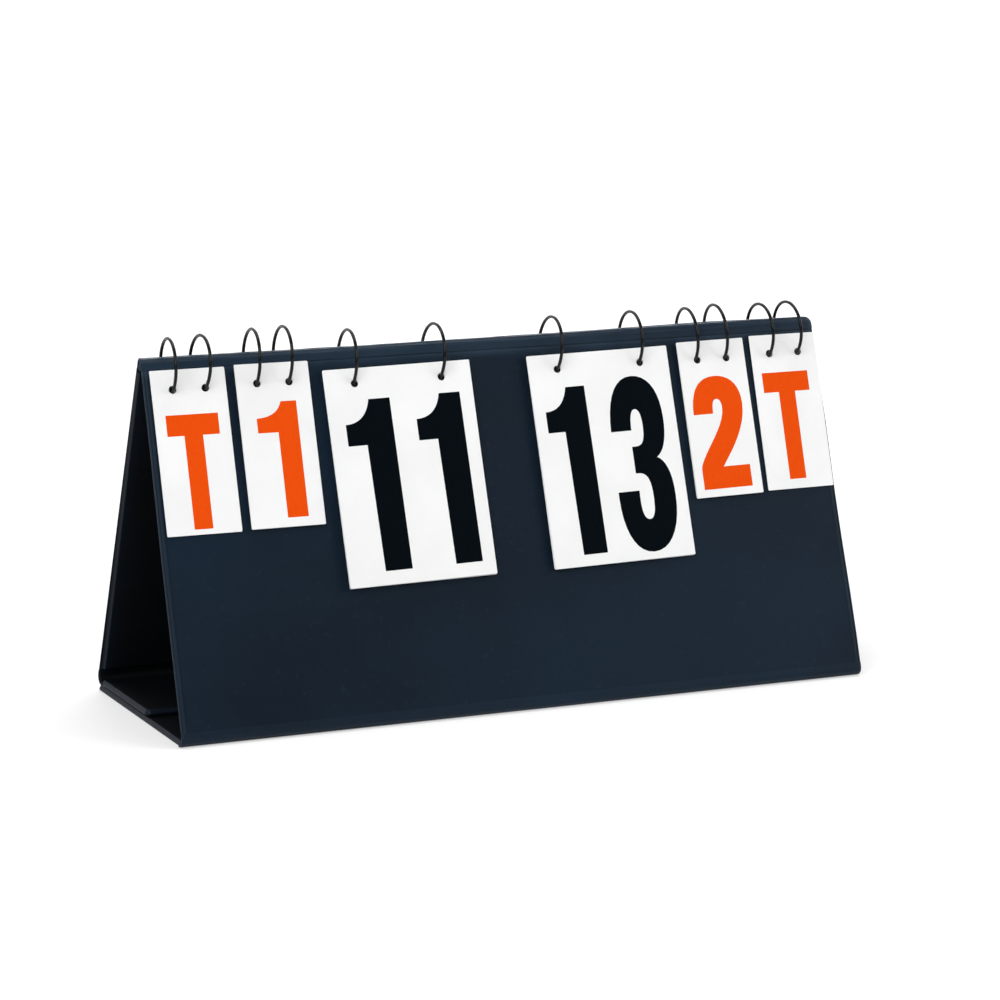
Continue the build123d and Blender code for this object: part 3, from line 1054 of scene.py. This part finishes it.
def pack_tree():
    tree, given = new_tree(
        "leaf_pack", **{"Blank": ("Object", None), "Count": ("Int", 5),
                        "First": ("Float", 4.5 * MM), "Pitch": ("Float", PITCH),
                        "Ring": ("Float", 15.5 * MM), "Drop out": ("Float", 0.0),
                        "Drop down": ("Float", 0.0), "Hang": ("Float", HANG),
                        "Top": ("Float", 8 * MM), "Fan": ("Float", 0.2), "Slide": ("Float", 0.3),
                        "Skew": ("Float", 0.004), "Seed": ("Int", 1)})

    def step(operation, a, b=0.0):
        return reckon(tree, operation, a, b)

    dots = add(tree, "GeometryNodePoints", {"Count": given["Count"]})
    number = add(tree, "GeometryNodeInputIndex").outputs[0]
    n = step("ADD", given["First"], step("MULTIPLY", number, given["Pitch"]))
    below = step("SUBTRACT", given["Top"], n)
    held = step("SUBTRACT", given["Top"], step("MULTIPLY", below, given["Fan"]))
    across = step("ADD", held, given["Drop out"])
    room = step("SUBTRACT", step("MULTIPLY", given["Ring"], given["Ring"]),
                step("MULTIPLY", across, across))
    down = step("ADD", step("ADD", step("SQRT", room), given["Drop down"]), given["Hang"])
    turn = step("MULTIPLY", chance(tree, given["Seed"], 1.0), given["Skew"])
    stray = chance(tree, step("ADD", given["Seed"], 5), 0.12 * MM)
    slid = step("ADD", stray, step("MULTIPLY", below, given["Slide"]))
    place = vector(tree, X=slid, Y=step("MULTIPLY", down, -1.0), Z=n)
    move = add(tree, "GeometryNodeSetPosition", {"Geometry": dots.outputs[0], "Position": place})
    return close_tree(tree, sown(tree, given["Blank"], move.outputs[0], turn), leaf_finish)


stack_names = list(ring_pose)
deal_leaves = pack_tree()
# height of a leaf, and how far its upper edge lies above its holes
SMALL, LARGE = (86 * MM, 10.3 * MM), (115 * MM, 8 * MM)
leaf_sizes = {}
for stack in stack_names:
    low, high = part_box(f"{stack}_front_leaf")
    width = high.x - low.x
    spacing = rings[f"{stack}_ring_2"][0].x - rings[f"{stack}_ring_1"][0].x
    height, margin = SMALL if width < 60 * MM else LARGE
    leaf_sizes[stack] = (width, height, spacing, margin)
print({k: [round(v / MM, 1) for v in sizes] for k, sizes in leaf_sizes.items()})

# %% [markdown]
# ## Where each leaf hangs
# The packed solids hold the loose leaves and the resting ones. Each leaf hangs from the wire by
# the top of its holes. The loose front leaves are set one by one: real leaves hang slightly
# crooked, and the holes are wider than the wire, so each may sit a millimetre or two high or low.

# %% How leaves hang
def wire_down(stack, n):
    """Distance down the panel at which a stack's ring passes through offset n."""
    middle, radius = rings[f"{stack}_ring_1"]
    drop = ridge[1] - middle.z
    return drop * c + math.sqrt(radius ** 2 - (n + drop * s) ** 2)


def leaf_count(node):
    """How many leaves a pack holds, from its thickness."""
    if node not in frame["nodes"]:
        return 0
    mesh = frame["nodes"][node].data
    face = faces["front" if "_front_" in node else "back"]
    co = np.array([v.co for v in mesh.vertices])[:, 1:] - face.line
    out = co @ face.outward
    return int(round((out.max() - out.min() - LEAF) / PITCH)) + 1


def loose_out(resting):
    """How far out the loose leaf hangs, over so many resting ones."""
    return FOLD + resting * PITCH + AWAY


print("a loose leaf hangs", loose_out(5) / MM, "mm out where five rest under it")

# %% Loose leaves and packs
# how a pack is untidy: Skew is the most that a leaf turns, in radians; Fan and Slide are how much
# of its depth in the pack a leaf lies up or down the ring and to the side
SKEW, FAN, SLIDE = 0.0022, 0.12, {"front": 0.36, "back": 0.1}
# how far each front stack sits below its nominal place on its rings, in millimetres, and how far
# each loose leaf is turned, in degrees
settle = {"time_out_left": -2.05, "sets_left": -1.48, "points_left": 1.1, "points_right": 0.1,
          "sets_right": 1.3, "time_out_right": -0.3}
crooked = {"time_out_left": 0.30, "sets_left": 0.36, "points_left": -0.81, "points_right": -1.04,
           "sets_right": -0.80, "time_out_right": -0.2}
loose = {}
counts = {}
for index, stack in enumerate(stack_names):
    middle, radius = rings[f"{stack}_ring_1"]
    x = middle.x + leaf_sizes[stack][2] / 2
    drop = ridge[1] - middle.z
    shape = flat_curve("leaf_blank", leaf_loops(*leaf_sizes[stack]), LEAF, 0.04 * MM)
    blank = put("leaf_blank", shape)
    for side in ("front", "back"):
        face = faces[side]
        resting = leaf_count(f"{stack}_{side}_pack")
        counts[stack, side] = resting
        shift = settle[stack] * MM if side == "front" else 0.0
        if resting:
            pack = grow(f"{stack}_{side}_resting_leaves", deal_leaves, {
                "Blank": blank, "Count": resting, "First": FOLD + FIRST, "Pitch": PITCH,
                "Ring": radius, "Drop out": drop * s, "Drop down": drop * c,
                "Hang": HANG + shift - FIRST, "Skew": SKEW, "Seed": 3 + index,
                "Top": loose_out(resting), "Fan": FAN, "Slide": SLIDE[side]})
            turn_pack = -0.7 * crooked[stack] if side == "front" else 0.0
            pack.data.transform(Matrix.Rotation(math.radians(turn_pack), 4, "Z"))
            pack.data.transform(face.matrix(x, 0, 0))
            pack.data.polygons.foreach_set("use_smooth", np.zeros(len(pack.data.polygons), bool))
            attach(pack, f"{side}_panel")
            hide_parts(f"{stack}_{side}_pack")
        node = f"{stack}_{side}_leaf"
        if node in frame["nodes"]:
            n = loose_out(resting)
            hang = wire_down(stack, n) + HANG + shift
            skew = crooked[stack] if side == "front" else 0.15 * (index % 3 - 1)
            stand = face.matrix(x, n, hang) @ Matrix.Rotation(math.radians(-skew), 4, "Z")
            loose[stack, side] = stand
            leaf = put(f"{stack}_{side}_loose_leaf", shape.copy())
            coat(leaf, leaf_finish)
            leaf.data.transform(stand)
            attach(leaf, node)
            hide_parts(node)
    bpy.data.objects.remove(blank)
print("resting leaves:", {f"{a} {b}": n for (a, b), n in counts.items()})

# %% [markdown]
# ## Printed numbers
# The numbers are plain, narrow and heavy, so that they read across a hall. Each digit is drawn
# here as an outline of straight runs and curves, in millimetres, with y downwards from the top of
# the 1. The points digits are 91 mm tall and black. The sets digits and the time-out T are orange
# and about two thirds of that height. A thin solid film on the leaf's face stands for the ink.

# %% Digit outlines
DIGITS = {
    "0": ["M 17 -2.9 C 28.5 -2.9 33.9 12 33.9 45.2 C 33.9 78.5 28.5 93.3 17 93.3 "
          "C 5.5 93.3 0 78.5 0 45.2 C 0 12 5.5 -2.9 17 -2.9",
          "M 17 15.2 C 13.6 15.2 12.9 21 12.9 45.2 C 12.9 69.5 13.6 75.3 17 75.3 "
          "C 20.4 75.3 21.1 69.5 21.1 45.2 C 21.1 21 20.4 15.2 17 15.2"],
    "1": ["M 14.6 0 L 26.7 0 L 27.1 91 L 11.7 91 L 10.8 24.1 L 0 24.1 L 0 12.7 "
          "C 8.3 12.7 13 7.8 14.6 0"],
    "2": ["M 0 28.3 L 13.2 28.3 C 13.2 20.3 14.1 16.3 16.5 16.3 C 18.9 16.3 19.8 20 19.8 23.8 "
          "C 19.8 37.5 7.9 54 3 65.6 C 1.1 70.2 0.5 71.8 0.5 75.7 L 0.5 91 L 33.2 91 "
          "L 33.2 72.9 L 15.4 72.9 C 19.9 64 33.8 44 33.8 21.6 C 33.8 5.6 27.3 -3 17 -3 "
          "C 5.7 -3 0 8 0 28.3"],
    "3": ["M 0.7 26.7 L 13 26.7 C 13 20.6 13.8 15.3 16.6 15.3 C 19.4 15.3 20.2 20.1 20.2 24.6 "
          "C 20.2 32.6 18.6 35.6 14.4 35.6 L 12 35.6 L 12 50.2 L 13.8 50.2 "
          "C 19.2 50.2 20.8 55.1 20.8 63.6 C 20.8 70.6 20 75.5 16.8 75.5 "
          "C 13.6 75.5 12.6 71.1 12.6 64.1 L 12.7 59.6 L 0 59.6 L 0 63.1 "
          "C 0 80.6 5.8 93.3 16.8 93.3 C 27.8 93.3 34.2 81.1 34.2 64.1 "
          "C 34.2 52.1 31.6 44.9 26.3 42.3 C 31 39.3 33.2 32.6 33.2 21.6 "
          "C 33.2 6.6 27.3 -2.9 17 -2.9 C 6.3 -2.9 1 9.1 0.7 26.7"],
    "4": ["M 10.5 0 L 27.6 0 L 27.6 56 L 33.4 56 L 33.4 72 L 27.6 72 L 27.6 91 L 14 91 "
          "L 14 72 L 0 72 L 0 55.5", "M 14 56 L 14 22 L 13.6 22 L 8.9 56"],
    "small 1": ["M 0 8.4 C 8.3 8.2 12.6 5.2 14.2 0 L 22.9 0 L 22.9 60.9 L 11.3 60.9 L 11.3 16.1 "
                "L 0 16.1"],
    "T": ["M 0 0 L 28.7 0 L 28.7 11 L 19.4 11 L 19.4 59.7 L 9.2 59.7 L 9.2 11 L 0 11"],
}


def outline(words, steps=9):
    """Reads one outline written with M, L and C into a list of points."""
    tokens = words.split()
    points, spot = [], 0
    while spot < len(tokens):
        word = tokens[spot]
        take = {"M": 2, "L": 2, "C": 6}[word]
        v = [float(t) for t in tokens[spot + 1:spot + 1 + take]]
        spot += 1 + take
        if word == "C":
            a = np.array(points[-1])
            b, d, e = np.array(v[0:2]), np.array(v[2:4]), np.array(v[4:6])
            for t in np.linspace(0, 1, steps + 1)[1:]:
                points.append(tuple((1 - t) ** 3 * a + 3 * t * (1 - t) ** 2 * b
                                    + 3 * t * t * (1 - t) * d + t ** 3 * e))
        else:
            points.append(tuple(v))
    if math.dist(points[0], points[-1]) < 1e-6:
        points.pop()
    return points


# where a number starts on its leaf, in mm: for each sign how far in and how wide it is drawn, then
# how far down and how tall
PLACES = {"11": (((9.3, 1.0), (49.9, 1.0)), 17.6, 1.0), "T": (((6.0, 1.0),), 24.1, 1.0),
          "1": (((9.2, 1.0),), 20.6, 1.0)}
TWO_SIGNS, ONE_SIGN = (((7.9, 0.93), (44.4, 1.0)), 17.6, 1.0), (((5.3, 0.912),), 21.6, 0.660)


def number_loops(text, tall):
    """Outlines of a number, laid out from the top left corner of its leaf, in metres."""
    layout, top, high = PLACES.get(text, TWO_SIGNS if tall else ONE_SIGN)
    signs = ["small 1"] if text == "1" else text
    return [[((left + px * wide) * MM, -(top + py * high) * MM) for px, py in outline(words)]
            for (left, wide), sign in zip(layout, signs) for words in DIGITS[sign]]


print("digits drawn:", " ".join(DIGITS))

# %% [markdown]
# ## Which numbers show
# Leaf k has k on its face and k + 1 on its back, so that the score reads the same from both sides
# of the table. The loose front leaf shows the score, the leaf under it shows the next number, and
# on the far side the loose leaf shows the score again with the previous number beneath it.

# %% Ink on the leaves
INK = 0.03 * MM                # thickness of the film of ink
INK_OUT = 0.16 * MM            # from the middle of a leaf to the middle of the film


def print_ink(name, text, tall, stand, mirrored, body, sizes, register=(0, 0)):
    """Lays a number on one face of a leaf. mirrored is for the face that looks at the panel."""
    width, _, _, margin = sizes
    loops = [[(px - width / 2 + register[0] * MM, py + margin + register[1] * MM)
              for px, py in loop] for loop in number_loops(text, tall)]
    shape = flat_curve("ink", loops, INK)
    face_out = Matrix.Translation((0, 0, -INK_OUT if mirrored else INK_OUT))
    if mirrored:
        # the holes stay at the top when a leaf goes over the ridge, so its back is drawn upright
        face_out = face_out @ Matrix.Rotation(math.pi, 4, "Y")
    shape.transform(stand @ face_out)
    made = put(name, shape)
    coat(made, black if tall else orange)
    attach(made, body)
    return made


# how far each front print is off its place, to the right and up, in millimetres
register = {"time_out_left": (0.0, 0.6), "sets_left": (0.0, 0.3), "points_left": (0.0, 0.9),
            "points_right": (-1.0, -0.3), "sets_right": (-0.7, -0.1), "time_out_right": (-0.9, 3.1)}
score = {"time_out_left": "T", "sets_left": 1, "points_left": 11, "points_right": 13,
         "sets_right": 2, "time_out_right": "T"}
printed = 0
for index, stack in enumerate(stack_names):
    value, sizes = score[stack], leaf_sizes[stack]
    tall = stack.startswith("points")
    for side, step in (("front", 1), ("back", -1)):
        if (stack, side) not in loose:
            continue
        stand = loose[stack, side]
        body = f"{stack}_{side}_leaf"
        rear = "T" if value == "T" else str(value + step)
        print_ink(f"{body}_number", str(value), tall, stand, False, body, sizes,
                  register[stack] if side == "front" else (0, 0))
        print_ink(f"{body}_rear_number", rear, tall, stand, True, body, sizes)
        printed += 2
        resting = counts[stack, side]
        if resting and value != "T":
            n = FOLD + FIRST + (resting - 1) * PITCH
            x = (rings[f"{stack}_ring_1"][0].x + rings[f"{stack}_ring_2"][0].x) / 2
            shift = settle[stack] * MM if side == "front" else 0.0
            down = wire_down(stack, loose_out(resting)) + HANG + shift - FIRST
            print_ink(f"{stack}_{side}_next_number", rear, tall, faces[side].matrix(x, n, down),
                      False, f"{side}_panel", sizes)
            printed += 1
print(printed, "numbers printed")

# %% [markdown]
# ## Hook-and-loop pads
# Three pairs of pads hold the two base flaps together. The lower flap carries the soft side, a
# nap of tiny loops, and the upper flap the side with rows of stiff hooks. Each pad is a woven tape
# with a tuft on it, repeated in rows by one tree, with the tuft's own small mesh as an input.

# %% Tufts and the pad tree
def bent_ribbon(name, path, width):
    """A narrow closed strip along a path in the x, z plane."""
    points, polygons = [], []
    for px, pz in path:
        points += [(px, -width, pz), (px, width, pz), (px + 0.05, width, pz + 0.02),
                   (px + 0.05, -width, pz + 0.02)]
    for i in range(len(path) - 1):
        a = 4 * i
        polygons += [(a + k, a + (k + 1) % 4, a + 4 + (k + 1) % 4, a + 4 + k) for k in range(4)]
    last = 4 * (len(path) - 1)
    polygons += [(3, 2, 1, 0), (last, last + 1, last + 2, last + 3)]
    made = object_from(name, np.array(points) * MM, polygons, [])
    face_outwards(made)
    return made


def pad_tree():
    tree, given = new_tree("tufted_pad", Tuft=("Object", None), Length=("Float", 60 * MM),
                           Width=("Float", 20 * MM), Along=("Int", 30), Across=("Int", 11),
                           Tape=("Float", 0.16 * MM), Loose=("Float", 0.3),
                           Finish=("Material", None), Seed=("Int", 1))

    def times(a, b):
        return reckon(tree, "MULTIPLY", a, b)

    tape = add(tree, "GeometryNodeMeshCube", {
        "Size": vector(tree, X=given["Length"], Y=given["Width"], Z=given["Tape"]),
        "Vertices X": 24, "Vertices Y": 10})
    lift = add(tree, "GeometryNodeTransform", {
        "Geometry": tape.outputs["Mesh"], "Translation": vector(tree, Z=times(given["Tape"], 0.5))})
    bed = add(tree, "GeometryNodeMeshGrid", {
        "Size X": reckon(tree, "SUBTRACT", given["Length"], 2 * MM),
        "Size Y": reckon(tree, "SUBTRACT", given["Width"], 2 * MM),
        "Vertices X": given["Along"], "Vertices Y": given["Across"]})
    raised = add(tree, "GeometryNodeSetPosition", {
        "Geometry": bed.outputs["Mesh"], "Offset": vector(tree, Z=times(given["Tape"], 0.9))})
    turn = times(chance(tree, given["Seed"], 3.1), given["Loose"])
    tufts = sown(tree, given["Tuft"], raised.outputs[0], turn)
    join = add(tree, "GeometryNodeJoinGeometry", {0: tufts})
    tree.links.new(lift.outputs[0], join.inputs[0])
    return close_tree(tree, join.outputs[0], given["Finish"])


tufted = pad_tree()
print("pad tree of", len(tufted.nodes), "nodes")

# %% Three pairs of pads
PAD, PAD_PITCH = 60 * MM, 150 * MM
hook = bent_ribbon("hook", [(0, 0), (0, 0.14), (0.1, 0.2), (0.22, 0.19), (0.3, 0.12)], 0.09)
loop = bent_ribbon("loop", [(-0.5, 0), (-0.42, 0.13), (-0.15, 0.2), (0.15, 0.19), (0.42, 0.12),
                            (0.5, 0)], 0.05)
for node, tuft_mesh, finish, body, loose_turn, slot in (
        ("loop_pads", loop, loop_finish, "lower_flap", 1.0, "loop_tape"),
        ("hook_pads", hook, hook_finish, "upper_flap", 0.06, "hook_tape")):
    low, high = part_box(node)
    up = node == "loop_pads"
    for k in (-1, 0, 1):
        place = Matrix.Translation((k * PAD_PITCH, (low.y + high.y) / 2, low.z if up else high.z))
        pad = grow(f"{node}_{k + 2}", tufted, {
            "Tuft": tuft_mesh, "Length": PAD, "Width": high.y - low.y, "Along": 30, "Across": 11,
            "Tape": 0.16 * MM, "Loose": loose_turn, "Finish": finish, "Seed": k + 4})
        pad.data.transform(place @ (Matrix.Identity(4) if up else Matrix.Rotation(math.pi, 4, "X")))
        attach(pad, body)
        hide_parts(node)
bpy.data.objects.remove(hook)
bpy.data.objects.remove(loop)
print("pads made with", len(pad.data.polygons), "faces each")

# %% [markdown]
# ## Both boxes
# The dressed model should fill the same box as the solids. Both boxes are measured, and their sizes
# printed side by side.

# %% Sizes
made_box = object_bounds()
sizes = {"cad": [list(p) for p in cad_box], "scene": [list(p) for p in made_box]}
print("solids", [round((b - a) / MM, 2) for a, b in zip(*cad_box)],
      "scene", [round((b - a) / MM, 2) for a, b in zip(*made_box)])
